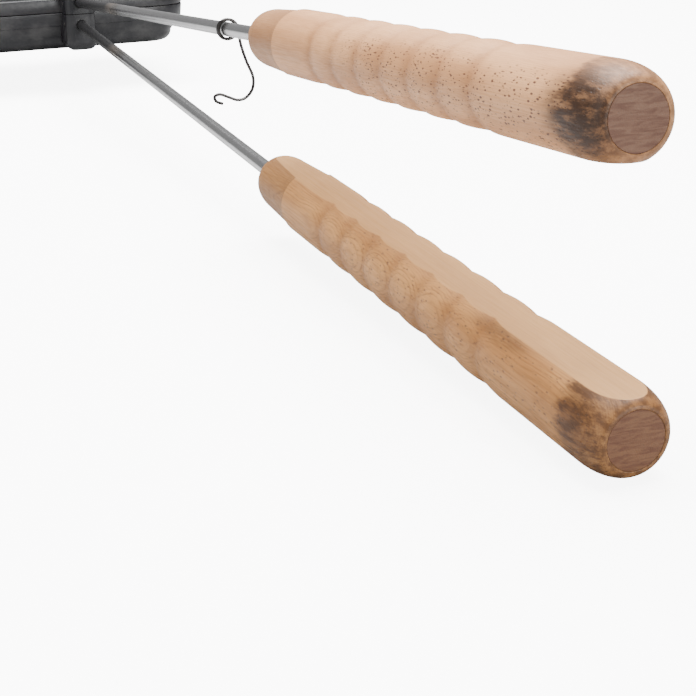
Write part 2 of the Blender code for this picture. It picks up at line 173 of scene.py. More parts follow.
class CookingIronHandles(bpy.types.PropertyGroup):
    rod_radius: FloatProperty(name="Rod radius", description="Radius of the steel rods",
                              default=0.0027, min=0.002, max=0.005, unit="LENGTH")
    grip_long: FloatProperty(name="Grip length", description="Length of each wooden grip",
                             default=0.246, min=0.1, max=0.3, unit="LENGTH")
    grip_radius: FloatProperty(name="Grip radius", description="Radius of each grip",
                               default=0.01135, min=0.008, max=0.015, unit="LENGTH")
    flat_at: FloatProperty(name="Flat", description="From a grip's axis to its flat",
                           default=0.0094, min=0.006, max=0.012, unit="LENGTH")
    groove_deep: FloatProperty(name="Groove depth", description="Depth of the finger grooves",
                               default=0.0007, min=0.0, max=0.002, unit="LENGTH")
    steel: FloatVectorProperty(name="Steel", description="Colour of the bright rods",
                               default=(0.70, 0.70, 0.71), min=0, max=1, subtype="COLOR")
    lower_wood: FloatVectorProperty(name="Lower grip", description="Colour of the lower grip",
                                    default=(0.54, 0.265, 0.092), min=0, max=1, subtype="COLOR")
    upper_wood: FloatVectorProperty(name="Upper grip", description="Colour of the upper grip",
                                    default=(0.67, 0.350, 0.165), min=0, max=1, subtype="COLOR")
    char: FloatVectorProperty(name="Scorch", description="Colour of the scorched wood",
                              default=(0.035, 0.014, 0.005), min=0, max=1, subtype="COLOR")


class CookingIronHook(bpy.types.PropertyGroup):
    wire_radius: FloatProperty(name="Wire radius", description="Radius of the hook's wire",
                               default=0.0006, min=0.0003, max=0.0015, unit="LENGTH")
    wire: FloatVectorProperty(name="Wire", description="Colour of the dark wire",
                              default=(0.060, 0.057, 0.055), min=0, max=1, subtype="COLOR")


class CookingIronStage(bpy.types.PropertyGroup):
    floor: FloatVectorProperty(name="Floor", description="Colour of the floor",
                               default=(0.90, 0.90, 0.90), min=0, max=1, subtype="COLOR")
    glow: FloatProperty(name="Floor glow", description="How far the floor is lifted to white",
                        default=7.0, min=0, max=20)
    sky: FloatProperty(name="Sky", description="Strength of the white surroundings",
                       default=0.31, min=0, max=3)
    key: FloatProperty(name="Key light", description="Power of the large light overhead",
                       default=112.0, min=0, max=500, unit="POWER")
    front: FloatProperty(name="Front light", description="Power of the low light in front",
                         default=12.0, min=0, max=500, unit="POWER")
    fill: FloatProperty(name="Side light", description="Power of the light at the left",
                        default=6.0, min=0, max=500, unit="POWER")


# ---- mesh helpers ----
def half_turn(upper):
    return Matrix.Rotation(math.pi if upper else 0.0, 4, "Y")


def half_place(upper):
    """Where the design of a lower half lands, as the lower or the upper one."""
    return Matrix.Translation(FRONT) @ half_turn(upper)


def along(lean, start):
    """A frame at start, Z leaning below -Y by the angle and Y facing the parting plane."""
    return Matrix.Translation(start) @ Matrix.Rotation(math.pi / 2 + lean, 4, "X")


def rod_design():
    return along(SPREAD, Vector((0, 0, -ROD_OFFSET)))


def grip_mouth(grip_long, upper):
    """How far along the rod from the pan's front the grip begins."""
    return HANDLE_REACH - (UPPER_SHORT if upper else 0.0) - grip_long


def grip_design(grip_long, upper):
    mouth = rod_design() @ Vector((0, 0, grip_mouth(grip_long, upper)))
    return along(SPREAD - GRIP_TURN, mouth)


def across(x, y, z=0.0):
    """A place whose Z axis runs along +X."""
    return Matrix.Translation((x, y, z)) @ Matrix.Rotation(math.pi / 2, 4, "Y")


def round_edges(bm, edges, radius, steps):
    bmesh.ops.bevel(bm, geom=edges, offset=radius, segments=steps, profile=0.5,
                    affect="EDGES", material=-1)


def block(low, high):
    bm = bmesh.new()
    bmesh.ops.create_cube(bm, size=1.0)
    bmesh.ops.scale(bm, vec=[h - l for l, h in zip(low, high)], verts=bm.verts)
    bmesh.ops.translate(bm, vec=[(l + h) / 2 for l, h in zip(low, high)], verts=bm.verts)
    return bm


def edges_along(bm, axis):
    return [e for e in bm.edges
            if abs((e.verts[1].co - e.verts[0].co).normalized()[axis]) > 0.9]


def cylinder(radius, low, high, place, steps=48, soft=0.0):
    """A round bar along Z from low to high, with softened ends, moved to its place."""
    bm = bmesh.new()
    bmesh.ops.create_cone(bm, cap_ends=True, segments=steps, radius1=radius, radius2=radius,
                          depth=high - low)
    bmesh.ops.translate(bm, vec=(0, 0, (low + high) / 2), verts=bm.verts)
    if soft:
        rims = [e for e in bm.edges if abs(e.verts[0].co.z - e.verts[1].co.z) < soft / 10]
        round_edges(bm, rims, soft, 3)
    bmesh.ops.transform(bm, matrix=place, verts=bm.verts)
    return bm


def swept_wire(points, radius, sides, scales=None):
    """A round wire through the points, its rings turning with the path, closed at both ends."""
    bm = bmesh.new()
    heading = (points[1] - points[0]).normalized()
    turned = heading.to_track_quat("Z", "Y").to_matrix().to_4x4()
    ring = bmesh.ops.create_circle(bm, segments=sides, radius=radius,
                                   matrix=Matrix.Translation(points[0]) @ turned)["verts"]
    edges = list(bm.edges)
    size = scales[0] if scales else 1.0
    for index in range(1, len(points)):
        ahead = points[min(index + 1, len(points) - 1)] - points[index - 1]
        turn = heading.rotation_difference(ahead.normalized())
        heading = ahead.normalized()
        grown = bmesh.ops.extrude_edge_only(bm, edges=edges)["geom"]
        ring = [g for g in grown if isinstance(g, bmesh.types.BMVert)]
        edges = [g for g in grown if isinstance(g, bmesh.types.BMEdge)]
        share = (scales[index] if scales else 1.0) / size
        size *= share
        move = Matrix.Translation(points[index]) @ turn.to_matrix().to_4x4()
        move = move @ Matrix.Scale(share, 4) @ Matrix.Translation(-points[index - 1])
        bmesh.ops.transform(bm, matrix=move, verts=ring)
    bmesh.ops.holes_fill(bm, edges=bm.edges, sides=0)
    return bm


def mesh_object(name, bm):
    mesh = bpy.data.meshes.new(name)
    bm.to_mesh(mesh)
    bm.free()
    made = bpy.data.objects.new(name, mesh)
    bpy.context.scene.collection.objects.link(made)
    return made


def combined(bm, added=(), cut=()):
    """The solid with others joined on, then others cut out of it."""
    base = mesh_object("solid", bm)
    tools = []
    for solids, operation in ((added, "UNION"), (cut, "DIFFERENCE")):
        for solid in solids:
            tools.append(mesh_object("tool", solid))
            step = base.modifiers.new("step", "BOOLEAN")
            step.operation = operation
            step.object = tools[-1]
            step.solver = "EXACT"
    graph = bpy.context.evaluated_depsgraph_get()
    result = bmesh.new()
    result.from_object(base, graph)
    for ob in tools + [base]:
        mesh = ob.data
        bpy.data.objects.remove(ob)
        bpy.data.meshes.remove(mesh)
    bmesh.ops.remove_doubles(result, verts=result.verts, dist=0.000005)
    return result


def finish_piece(name, bm, place, material, body, nodes, sharp=35.0):
    """Put the mesh in its place, parent it to its body's empty and hide the CAD parts it replaces.
    """
    bmesh.ops.transform(bm, matrix=place, verts=bm.verts)
    bmesh.ops.recalc_face_normals(bm, faces=bm.faces)
    made = mesh_object(name, bm)
    made.data.materials.append(material)
    made.data.shade_smooth()
    made.data.set_sharp_from_angle(angle=math.radians(sharp))
    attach(made, body)
    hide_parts(*nodes)
    return made


# ---- shader helpers ----
def add(tree, kind, inputs=None, **settings):
    """A node with its settings, and its inputs set to values or linked from sockets."""
    made = tree.nodes.new(kind)
    for key, value in settings.items():
        setattr(made, key, value)
    for key, value in (inputs or {}).items():
        if isinstance(value, bpy.types.NodeSocket):
            tree.links.new(value, made.inputs[key])
        else:
            made.inputs[key].default_value = value
    return made


def math_node(tree, operation, *values, clamp=False):
    made = add(tree, "ShaderNodeMath", dict(enumerate(values)), operation=operation)
    made.use_clamp = clamp
    return made.outputs[0]


def times(tree, first, second):
    return math_node(tree, "MULTIPLY", first, second)


def ramped(tree, value, low, high, out_low=0.0, out_high=1.0):
    """The value carried smoothly from one range to another."""
    made = add(tree, "ShaderNodeMapRange",
               {"Value": value, "From Min": low, "From Max": high, "To Min": out_low,
                "To Max": out_high}, interpolation_type="SMOOTHSTEP")
    return made.outputs["Result"]


def mixed(tree, share, first, second, blend="MIX"):
    made = add(tree, "ShaderNodeMix", data_type="RGBA", blend_type=blend)
    for socket, value in ((made.inputs[0], share), (made.inputs[6], first),
                          (made.inputs[7], second)):
        if isinstance(value, bpy.types.NodeSocket):
            tree.links.new(value, socket)
        else:
            socket.default_value = value
    return made.outputs[2]


def noise(tree, vector, scale, detail=3.0, rough=0.5, distortion=0.0):
    return add(tree, "ShaderNodeTexNoise",
               {"Vector": vector, "Scale": scale, "Detail": detail, "Roughness": rough,
                "Distortion": distortion}).outputs["Fac"]


def stretched(tree, vector, scale, start=(0, 0, 0)):
    return add(tree, "ShaderNodeMapping",
               {"Vector": vector, "Scale": scale, "Location": start}).outputs["Vector"]


def new_group(name, inputs, outputs):
    """A shader group with float inputs, apart from its Vector, and float outputs."""
    tree = bpy.data.node_groups.new(name, "ShaderNodeTree")
    tree.interface.new_socket("Vector", in_out="INPUT", socket_type="NodeSocketVector")
    for title, value in inputs:
        made = tree.interface.new_socket(title, in_out="INPUT", socket_type="NodeSocketFloat")
        made.default_value = value
    for title in outputs:
        tree.interface.new_socket(title, in_out="OUTPUT", socket_type="NodeSocketFloat")
    return tree, tree.nodes.new("NodeGroupInput").outputs, tree.nodes.new("NodeGroupOutput").inputs


def place_group(tree, group, inputs):
    made = tree.nodes.new("ShaderNodeGroup")
    made.node_tree = group
    for key, value in inputs.items():
        if isinstance(value, bpy.types.NodeSocket):
            tree.links.new(value, made.inputs[key])
        else:
            made.inputs[key].default_value = value
    return made.outputs


def colour(values):
    return (*values, 1.0)


def toned(tint, shares):
    return colour(tuple(v * f for v, f in zip(tint, shares)))


def new_material(name, rough, metal):
    made = bpy.data.materials.new(name)
    made.use_nodes = True
    tree = made.node_tree
    shader = tree.nodes["Principled BSDF"]
    shader.inputs["Roughness"].default_value = rough
    shader.inputs["Metallic"].default_value = metal
    where = tree.nodes.new("ShaderNodeTexCoord").outputs["Object"]
    return made, tree, shader, where


def bumped(tree, shader, height, distance, strength=1.0):
    bump = add(tree, "ShaderNodeBump",
               {"Height": height, "Distance": distance, "Strength": strength})
    tree.links.new(bump.outputs["Normal"], shader.inputs["Normal"])


# ---- shared effects ----
def grain_group():
    """Beech along Z: growth layers, ray flecks, pores, streaks and blotches."""
    tree, given, out = new_group(
        "beech grain",
        (("Pith X", 0.03), ("Pith Y", 0.0), ("Layer", 0.0003), ("Waves", 0.0006),
         ("Fleck Share", 0.3), ("Pore Share", 0.3)),
        ("Layers", "Flecks", "Pores", "Streaks", "Blotches"))
    where = given["Vector"]
    drift = noise(tree, stretched(tree, where, (60, 60, 26)), 1.0, 2.0)
    ripple = noise(tree, stretched(tree, where, (500, 500, 90)), 1.0, 2.0)
    parts = add(tree, "ShaderNodeSeparateXYZ", {"Vector": where}).outputs
    off_x = math_node(tree, "SUBTRACT", parts["X"], given["Pith X"])
    off_y = math_node(tree, "SUBTRACT", parts["Y"], given["Pith Y"])
    far = math_node(tree, "SQRT", math_node(
        tree, "ADD", times(tree, off_x, off_x),
        times(tree, off_y, off_y)))
    bent = math_node(tree, "MULTIPLY_ADD", drift, given["Waves"], far)
    bent = math_node(tree, "MULTIPLY_ADD", ripple, 0.00012, bent)
    turns = math_node(tree, "DIVIDE", bent, given["Layer"])
    saw = math_node(tree, "FRACT", turns)
    late = ramped(tree, saw, 0.55, 0.95)
    early = ramped(tree, saw, 0.0, 0.12, 1.0, 0.0)
    layer = math_node(tree, "MAXIMUM", late, early)
    number = math_node(tree, "FLOOR", turns)
    uneven = add(tree, "ShaderNodeTexWhiteNoise", {"W": number}, noise_dimensions="1D")
    weight = math_node(tree, "MULTIPLY_ADD", uneven.outputs["Value"], 0.7, 0.3)
    broken = noise(tree, stretched(tree, where, (900, 900, 260), (2, 5, 1)), 1.0, 3.0, 0.6)
    broken = ramped(tree, broken, 0.36, 0.60, 0.25, 1.0)
    tree.links.new(times(tree, times(tree, layer, weight),
                             broken), out["Layers"])

    def specks(scale, thickness, share):
        cell = add(tree, "ShaderNodeTexVoronoi",
                   {"Vector": stretched(tree, where, scale), "Scale": 1.0,
                    "Randomness": 1.0})
        chosen = add(tree, "ShaderNodeSeparateColor", {"Color": cell.outputs["Color"]})
        wanted = math_node(tree, "LESS_THAN", chosen.outputs[0], share)
        size = math_node(tree, "MULTIPLY_ADD", chosen.outputs[1], thickness, thickness * 0.45)
        core = math_node(tree, "SUBTRACT", size, cell.outputs["Distance"])
        shape = ramped(tree, core, 0.0, thickness * 0.55)
        return times(tree, shape, wanted)

    tree.links.new(specks((1050, 1250, 520), 0.30, given["Fleck Share"]), out["Flecks"])
    tree.links.new(specks((1500, 1700, 420), 0.24, given["Pore Share"]), out["Pores"])
    fine = noise(tree, stretched(tree, where, (2600, 2600, 60)), 1.0, 4.0, 0.6)
    tree.links.new(fine, out["Streaks"])
    tree.links.new(noise(tree, stretched(tree, where, (110, 110, 22), (3, 1, 2)), 1.0, 3.0),
                   out["Blotches"])
    return tree


def metal_group():
    """Drawn metal in a frame whose Y is the drawing direction: fine lines and cloudy tarnish."""
    tree, given, out = new_group("drawn metal", (("Fineness", 2500.0),), ("Lines", "Tarnish"))
    where = given["Vector"]
    packed = add(tree, "ShaderNodeCombineXYZ",
                 {"X": given["Fineness"], "Y": 40.0, "Z": given["Fineness"]})
    scaled = add(tree, "ShaderNodeVectorMath", {0: where, 1: packed.outputs[0]},
                 operation="MULTIPLY")
    tree.links.new(noise(tree, scaled.outputs[0], 1.0, 3.0, 0.6), out["Lines"])
    tree.links.new(noise(tree, where, 180.0, 4.0, 0.6), out["Tarnish"])
    return tree


# ---- materials ----
def cast_iron_material(look):
    """Sand-cast skin under baked oil: pebbled, cloudy, a little greyer where it is rubbed."""
    made, tree, shader, where = new_material("seasoned cast iron", 0.42, 0.0)
    shader.inputs["Specular IOR Level"].default_value = 0.34
    pebble = noise(tree, where, 1500.0, 3.0, 0.55)
    lumps = noise(tree, where, 320.0, 3.0, 0.5)
    cloud = noise(tree, where, 45.0, 4.0, 0.6)
    rubbed = ramped(tree, cloud, 0.45, 0.72)
    tree.links.new(mixed(tree, rubbed, colour(look.iron), colour(look.iron_worn)),
                   shader.inputs["Base Color"])
    spread = math_node(tree, "MULTIPLY_ADD", lumps, 0.16, 0.20)
    tree.links.new(math_node(tree, "MULTIPLY_ADD", cloud, 0.12, spread),
                   shader.inputs["Roughness"])
    height = math_node(tree, "MULTIPLY_ADD", lumps, 1.6, pebble)
    bumped(tree, shader, height, 0.00004, 0.7)
    return made


def rod_material(look, metal):
    """Bright drawn rod whose colour turns near-black towards the pans, through a straw tint."""
    made, tree, shader, where = new_material("bright drawn rod", 0.2, 1.0)
    drawn = place_group(tree, metal, {"Vector": where, "Fineness": 2400.0})
    place_y = add(tree, "ShaderNodeSeparateXYZ", {"Vector": where}).outputs["Y"]
    edge_wobble = noise(tree, where, 90.0, 4.0, 0.6)
    edge = math_node(tree, "MULTIPLY_ADD", edge_wobble, 0.018, place_y)
    # Near-black colour over the rod's stretch by the pans, then a straw tint and a ragged edge
    # before the bright steel; metallic and roughness change with it.
    bright_share = ramped(tree, edge, FRONT.y - 0.080, FRONT.y - 0.112)
    straw = ramped(tree, edge, FRONT.y - 0.096, FRONT.y - 0.128)
    dull = mixed(tree, straw, (0.20, 0.155, 0.12, 1), colour(look.steel))
    tarnished = mixed(tree, times(tree, drawn["Tarnish"], 0.5), dull,
                      (0.42, 0.41, 0.40, 1))
    tree.links.new(mixed(tree, bright_share, (0.016, 0.016, 0.017, 1), tarnished),
                   shader.inputs["Base Color"])
    tree.links.new(math_node(tree, "MULTIPLY_ADD", bright_share, 0.75, 0.25),
                   shader.inputs["Metallic"])
    rough = math_node(tree, "MULTIPLY_ADD", drawn["Tarnish"], 0.16, 0.16)
    tree.links.new(math_node(tree, "ADD", rough, ramped(tree, bright_share, 0.0, 1.0, 0.22, 0.0)),
                   shader.inputs["Roughness"])
    bumped(tree, shader, drawn["Lines"], 0.000012, 0.6)
    return made


def plain_metal_material(name, tint, rough, metal, fineness, worn=0.5):
    """Small steel hardware: drawn lines, tarnish in clouds."""
    made, tree, shader, where = new_material(name, rough, 1.0)
    drawn = place_group(tree, metal, {"Vector": where, "Fineness": fineness})
    dark = tuple(v * worn for v in tint)
    cloudy = ramped(tree, drawn["Tarnish"], 0.38, 0.66)
    tree.links.new(mixed(tree, cloudy, colour(tint), colour(dark)), shader.inputs["Base Color"])
    tree.links.new(math_node(tree, "MULTIPLY_ADD", drawn["Tarnish"], 0.25, rough - 0.1),
                   shader.inputs["Roughness"])
    bumped(tree, shader, drawn["Lines"], 0.00001, 0.5)
    return made


def grip_vector(tree, where, place):
    """Object coordinates carried into a grip's own frame."""
    return add(tree, "ShaderNodeMapping",
               {"Vector": where, "Location": place.to_translation(),
                "Rotation": place.to_euler()}, vector_type="TEXTURE").outputs["Vector"]


def spot(tree, vector, centre, reach):
    """A soft mask, 1 at the centre and 0 past the reach along each axis."""
    moved = add(tree, "ShaderNodeVectorMath", {0: vector, 1: centre}, operation="SUBTRACT")
    scaled = add(tree, "ShaderNodeVectorMath", {0: moved.outputs[0], 1: reach},
                 operation="DIVIDE")
    far = add(tree, "ShaderNodeVectorMath", {0: scaled.outputs[0]}, operation="LENGTH")
    return ramped(tree, far.outputs["Value"], 0.35, 1.0, 1.0, 0.0)


def wood_material(name, tint, char, grain, place, radius, settings):
    """Turned beech: growth layers cut by the grooves, flecks, pores, painted shade in the groove
    hollows and dark end grain.
    """
    made, tree, shader, where = new_material(name, 0.5, 0.0)
    shader.inputs["Specular IOR Level"].default_value = 0.35
    local = grip_vector(tree, where, place)
    wood = place_group(tree, grain, {"Vector": local, "Pith X": settings["pith"][0],
                                     "Pith Y": settings["pith"][1],
                                     "Layer": settings["layer"], "Waves": settings["waves"],
                                     "Fleck Share": settings["flecks"],
                                     "Pore Share": settings["pores"]})
    parts = add(tree, "ShaderNodeSeparateXYZ", {"Vector": local}).outputs
    flat = add(tree, "ShaderNodeCombineXYZ", {"X": parts["X"], "Y": parts["Y"]}).outputs[0]
    out = add(tree, "ShaderNodeVectorMath", {0: flat}, operation="LENGTH").outputs["Value"]
    on_flat = ramped(tree, parts["Y"], 0.00925, 0.00938)
    off_flat = math_node(tree, "SUBTRACT", 1.0, on_flat)

    pale = colour(tuple(min(1.0, v * 1.14) for v in tint))
    deep = toned(tint, (0.82, 0.75, 0.68))
    shade = mixed(tree, ramped(tree, wood["Blotches"], 0.32, 0.68), pale, deep)
    line = toned(tint, settings["line"])
    shade = mixed(tree, times(tree, wood["Layers"], settings["contrast"]),
                  shade, line)
    shade = mixed(tree, ramped(tree, wood["Streaks"], 0.42, 0.75, 0.0, settings["streaks"]),
                  shade, line)
    shade = mixed(tree, times(tree, on_flat, 0.55), shade,
                  toned(tint, settings["planed"]))

    fleck = colour(settings["fleck"])
    side = times(tree, parts["X"], settings["side"])
    patchy = noise(tree, stretched(tree, local, (90, 90, 45), (7, 3, 1)), 1.0, 2.0)
    crowd = math_node(tree, "MULTIPLY_ADD", patchy, 0.008, side)
    crowd = ramped(tree, crowd, settings["crowd"][0], settings["crowd"][1],
                   settings["quiet"], 1.0)
    onset = ramped(tree, parts["Z"], settings["onset"][0], settings["onset"][1],
                   settings["quiet"], 1.0)
    marks = times(tree, times(tree, onset, crowd), off_flat)
    for kind in ("Flecks", "Pores"):
        shade = mixed(tree, times(tree, wood[kind],
                                      times(tree, marks, settings["mark"])),
                      shade, fleck)

    # Painted shade in the groove hollows: darker towards the bottom of each hollow, along the
    # grooved length and off the flat, at full strength on the -X flank that the light leaves in
    # shade and a quarter as strong elsewhere, broken up by noise.
    hollow = ramped(tree, out, radius - 0.00072, radius - 0.00008, 1.0, 0.0)
    grooved = times(tree, ramped(tree, parts["Z"], *GROOVED_FROM),
                        ramped(tree, parts["Z"], *GROOVED_TO, 1.0, 0.0))
    shaded_side_weight = ramped(tree, side, 0.001, 0.009, 0.25, 1.0)
    painted_groove_shade = times(tree, times(tree, hollow, off_flat),
                      times(tree, grooved, shaded_side_weight))
    shade_breakup = ramped(tree, noise(tree, stretched(tree, local, (500, 500, 120)), 1.0, 4.0, 0.65),
                   0.30, 0.62, 0.45, 1.0)
    painted_groove_shade = times(tree, painted_groove_shade, times(tree, shade_breakup,
                                                         settings["painted_groove_shade"]))
    # The painted groove shade is a darker copy of the wood's tint.
    shade = mixed(tree, painted_groove_shade, shade, toned(tint, (0.46, 0.36, 0.29)))
    for at in settings["turning"]:
        near = math_node(tree, "ABSOLUTE", math_node(tree, "SUBTRACT", parts["Z"], at))
        mark = times(tree, ramped(tree, near, 0.00005, 0.00028, 0.55, 0.0),
                         off_flat)
        shade = mixed(tree, mark, shade, colour(tuple(v * 0.42 for v in tint)))

    ragged = noise(tree, stretched(tree, local, (520, 520, 150)), 1.0, 5.0, 0.65)
    reach_in = math_node(tree, "MULTIPLY_ADD", ragged, 0.010, math_node(
        tree, "SUBTRACT", parts["Z"], 0.005))
    outer = ramped(tree, reach_in, settings["end_from"], settings["end_from"] + 0.005, 0.0,
                   settings["end"])
    mottle = ramped(tree, ragged, 0.35, 0.62, 0.62, 1.0)
    outer = times(tree, times(tree, outer, mottle), off_flat)
    shade = mixed(tree, outer, shade, colour(settings["end_tint"]))
    inner = ramped(tree, parts["Z"], *NOSE_SHADE, 0.0, settings["inner"])
    shade = mixed(tree, times(tree, inner, off_flat), shade,
                  colour(settings["end_tint"]))
    for centre, reach, strength in settings["scorches"]:
        mask = spot(tree, local, centre, reach)
        mask = times(tree, mask, ramped(tree, ragged, 0.30, 0.60, 0.55, 1.0))
        mask = times(tree, times(tree, mask, strength),
                         off_flat)
        shade = mixed(tree, mask, shade, colour(char))
    tree.links.new(shade, shader.inputs["Base Color"])
    tree.links.new(ramped(tree, wood["Streaks"], 0.3, 0.7, 0.42, 0.58),
                   shader.inputs["Roughness"])
    relief = math_node(tree, "MULTIPLY_ADD", wood["Layers"], -0.5, wood["Streaks"])
    relief = math_node(tree, "MULTIPLY_ADD",
                       times(tree, wood["Flecks"], marks), -1.5, relief)
    bumped(tree, shader, relief, 0.00005, 0.6)
    return made


def end_grain_material(name, tint, place):
    """Cut end of a dowel: rings across the end, reddish streaks, small dark pores."""
    made, tree, shader, where = new_material(name, 0.55, 0.0)
    local = grip_vector(tree, where, place)
    bands = noise(tree, stretched(tree, local, (150, 900, 200)), 1.0, 5.0, 0.62, 0.8)
    pores = noise(tree, stretched(tree, local, (3200, 3200, 600)), 1.0, 2.0, 0.6)
    red = toned(tint, (0.66, 0.50, 0.40))
    shade = mixed(tree, ramped(tree, bands, 0.36, 0.66), colour(tint), red)
    dark = colour(tuple(v * 0.45 for v in tint))
    shade = mixed(tree, ramped(tree, pores, 0.58, 0.76, 0.0, 0.6), shade, dark)
    tree.links.new(shade, shader.inputs["Base Color"])
    tree.links.new(ramped(tree, bands, 0.3, 0.7, 0.48, 0.62), shader.inputs["Roughness"])
    bumped(tree, shader, math_node(tree, "SUBTRACT", bands, pores), 0.00005, 0.6)
    return made


# ---- pans ----
def rim_loop(bm, inset, height, corner):
    """A rounded square loop of edges, in by the inset from the pan's outline."""
    known = set(bm.edges)
    face = bmesh.ops.create_grid(bm, x_segments=1, y_segments=1, size=PAN_SIDE / 2 - inset,
                                 matrix=Matrix.Translation((0, PAN_SIDE / 2, height)))
    rounding = max(corner - inset * 0.8, 0.004)
    bmesh.ops.bevel(bm, geom=face["verts"], offset=rounding, segments=CORNER_STEPS,
                    profile=0.5, affect="VERTICES", material=-1)
    edges = [e for e in bm.edges if e not in known]
    bmesh.ops.delete(bm, geom=edges[0].link_faces[:], context="FACES_ONLY")
    return edges


def quarter(steps):
    """Rising shares (sideways, upwards) of a quarter round, from flat to upright."""
    return [(math.sin(math.pi / 2 * k / steps), 1 - math.cos(math.pi / 2 * k / steps))
            for k in range(steps + 1)]


def pan_shell(look):
    """The casting without its boss, ribs and knuckles, as the lower half, by stacked loops."""
    top = -PARTING_GAP / 2
    floor_at = FLOOR_THICK - PAN_HIGH
    band_low = top - look.band
    cavity_foot = LAND_WIDE + CAVITY_DRAFT
    wall_foot = BAND_STEP + WALL_DRAFT
    levels = []
    for side, rise in quarter(5):
        levels.append((cavity_foot + CAVITY_ROUND * (1 - side), floor_at + CAVITY_ROUND * rise))
    for side, rise in quarter(3):
        levels.append((LAND_WIDE - EDGE_SOFT * rise, top - EDGE_SOFT * (1 - side)))
    for side, rise in quarter(3):
        levels.append((EDGE_SOFT * (1 - side), top - EDGE_SOFT * rise))
    for side, rise in quarter(3):
        levels.append((BAND_DRAFT + EDGE_SOFT * rise, band_low + EDGE_SOFT * (1 - side)))
    step_foot = BAND_STEP + BAND_DRAFT
    for side, rise in quarter(3):
        levels.append((step_foot - EDGE_SOFT * (1 - side), band_low - EDGE_SOFT * rise))
    for side, rise in quarter(7):
        levels.append((wall_foot + BASE_ROUND * rise, -PAN_HIGH + BASE_ROUND * (1 - side)))
    bm = bmesh.new()
    last = None
    for inset, height in levels:
        loop = rim_loop(bm, inset, height, look.corner)
        if last:
            bmesh.ops.bridge_loops(bm, edges=last + loop)
        last = loop
    bmesh.ops.holes_fill(bm, edges=bm.edges, sides=0)
    bmesh.ops.recalc_face_normals(bm, faces=bm.faces)
    return bm


def pan_ribs():
    floor_at = FLOOR_THICK - PAN_HIGH
    inner = PAN_SIDE - 2 * (LAND_WIDE + CAVITY_DRAFT)
    pitch = inner / RIB_COUNT
    made = []
    for index in range(RIB_COUNT):
        middle = (index - (RIB_COUNT - 1) / 2) * pitch
        bm = block((middle - RIB_WIDE / 2, LAND_WIDE + RIB_SHORT, floor_at - 0.001),
                   (middle + RIB_WIDE / 2, PAN_SIDE - LAND_WIDE - RIB_SHORT,
                    floor_at + RIB_HIGH))
        round_edges(bm, edges_along(bm, 2), RIB_WIDE * 0.45, 5)
        upper_rim = [e for e in bm.edges
                     if min(v.co.z for v in e.verts) > floor_at + RIB_HIGH / 2]
        round_edges(bm, upper_rim, RIB_SOFT, 3)
        made.append(bm)
    return made


def pan_boss():
    """The rod's socket, rounded at its front corners and underneath."""
    top = -PARTING_GAP / 2 - 0.00002
    bm = block((-BOSS_WIDE / 2, -BOSS_LONG, top - BOSS_HIGH), (BOSS_WIDE / 2, 0.006, top))
    rounded = [e for e in bm.edges if min(v.co.y for v in e.verts) < 0
               and (min(v.co.z for v in e.verts) < top - BOSS_HIGH / 2)]
    round_edges(bm, rounded, BOSS_ROUND, 7)
    return bm


def knuckle_solids(upper):
    axis_y = PAN_SIDE + HINGE_OUT
    near = KNUCKLE_MID / 2 + KNUCKLE_GAP
    spans = [(-KNUCKLE_MID / 2, KNUCKLE_MID / 2)] if upper else \
        [(-near - KNUCKLE_SIDE, -near), (near, near + KNUCKLE_SIDE)]
    joined, bored = [], []
    for station in (-HINGE_X, HINGE_X):
        for low, high in spans:
            joined.append(cylinder(KNUCKLE_R, low, high, across(station, axis_y), 48, 0.0005))
            web = block((station + low + 0.0003, PAN_SIDE - 0.003, -KNUCKLE_R),
                        (station + high - 0.0003, axis_y, -0.0012))
            round_edges(web, edges_along(web, 1), 0.0004, 2)
            joined.append(web)
        bored.append(cylinder(PIN_R + PLAY, -0.02, 0.02, across(station, axis_y), 40))
    return joined, bored


class COOKINGIRON_OT_pans(bpy.types.Operator):
    """Model both cast pans and their finish"""
    bl_idname = "cookingiron.pans"
    bl_label = "Pans"

    def execute(self, context):
        look = context.scene.cooking_iron_pans
        iron = cast_iron_material(look)
        rod_radius = context.scene.cooking_iron_handles.rod_radius
        for half, upper in HALVES:
            knuckles, bores = knuckle_solids(upper)
            socket = cylinder(rod_radius + PLAY, BOSS_LONG - SOCKET_DEEP, BOSS_LONG + 0.01,
                              rod_design(), 48)
            pin_hole = cylinder(CROSS_PIN_R, -BOSS_WIDE, BOSS_WIDE, rod_design() @ across(
                0, 0, BOSS_LONG / 2), 24)
            solid = combined(pan_shell(look), pan_ribs() + [pan_boss()] + knuckles,
                             bores + [socket, pin_hole])
            finish_piece(half + "_pan_casting", solid, half_place(upper), iron,
                         half + "_half", (half + "_pan",), 40.0)
        return {"FINISHED"}


# ---- handles ----
def end_share(left, length, face, full):
    """Share of the radius at a distance from an end that is rounded over the given length."""
    if left > length:
        return 1.0
    rise = math.sqrt(max(0.0, 1 - (1 - left / length) ** 2))
    return face + (full - face) * rise


def grip_radius_at(look, at):
    """Radius of the turned grip at a distance from its inner end, before the flat is cut."""
    radius = look.grip_radius
    last = GROOVE_FIRST + (GROOVES - 1) * GROOVE_PITCH
    if GROOVE_FIRST - GROOVE_PITCH / 2 < at < last + GROOVE_PITCH / 2:
        turns = (at - GROOVE_FIRST) / GROOVE_PITCH
        radius -= look.groove_deep * (1 - abs(math.sin(math.pi * turns)))
    share = end_share(at, INNER_ROUND, INNER_FACE, NOSE_FOOT)
    if INNER_ROUND < at <= NOSE_LONG:
        part = (at - INNER_ROUND) / (NOSE_LONG - INNER_ROUND)
        share = NOSE_FOOT + (NOSE_TOP - NOSE_FOOT) * part
    share = min(share, end_share(look.grip_long - at, OUTER_ROUND, OUTER_FACE, 1.0))
    return min(radius, look.grip_radius * share)


